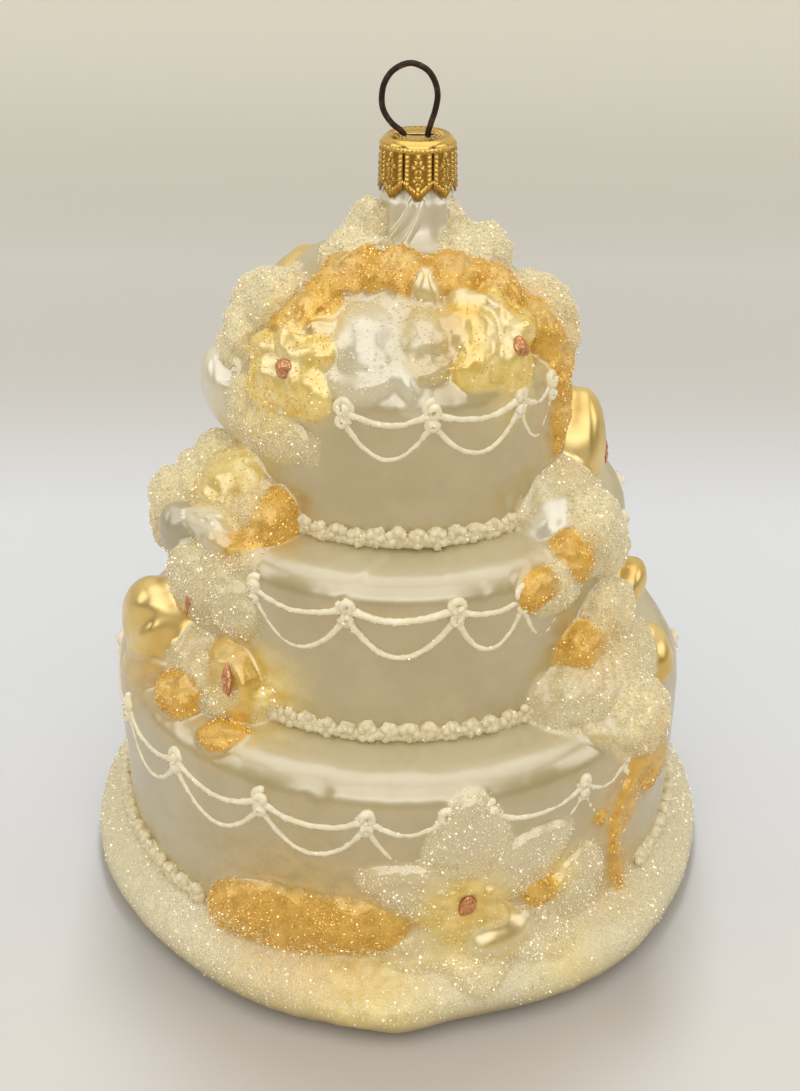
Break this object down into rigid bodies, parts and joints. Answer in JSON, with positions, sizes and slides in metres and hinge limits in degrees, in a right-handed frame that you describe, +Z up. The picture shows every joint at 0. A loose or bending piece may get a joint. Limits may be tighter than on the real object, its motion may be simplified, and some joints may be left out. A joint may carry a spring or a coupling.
{
  "type": "glass wedding cake ornament",
  "caption": "Blown-glass tree ornament shaped as a tiered wedding cake with flower sprays, piped swags and bead borders, with a stamped metal crown cap and a wire loop to hang it by.",
  "frame": {"origin": "middle of the flat underside of the cake board", "axes": "+Z up from the board to the hanging loop, -Y towards the front with the lily spray, +X to the viewer's right"},
  "size_m": [0.1038, 0.1086, 0.1278],
  "materials": {
    "pearl_glass": "pearl ivory lacquered glass with gold and orange lacquer on the flowers and clear glitter",
    "gold_cap": "stamped bright gold sheet",
    "dark_wire": "dark brown spring wire"
  },
  "bodies": {
    "root": {"glass_body": "pearl_glass", "crown_cap": "gold_cap", "hanger_loop": "dark_wire"}
  },
  "joints": []
}
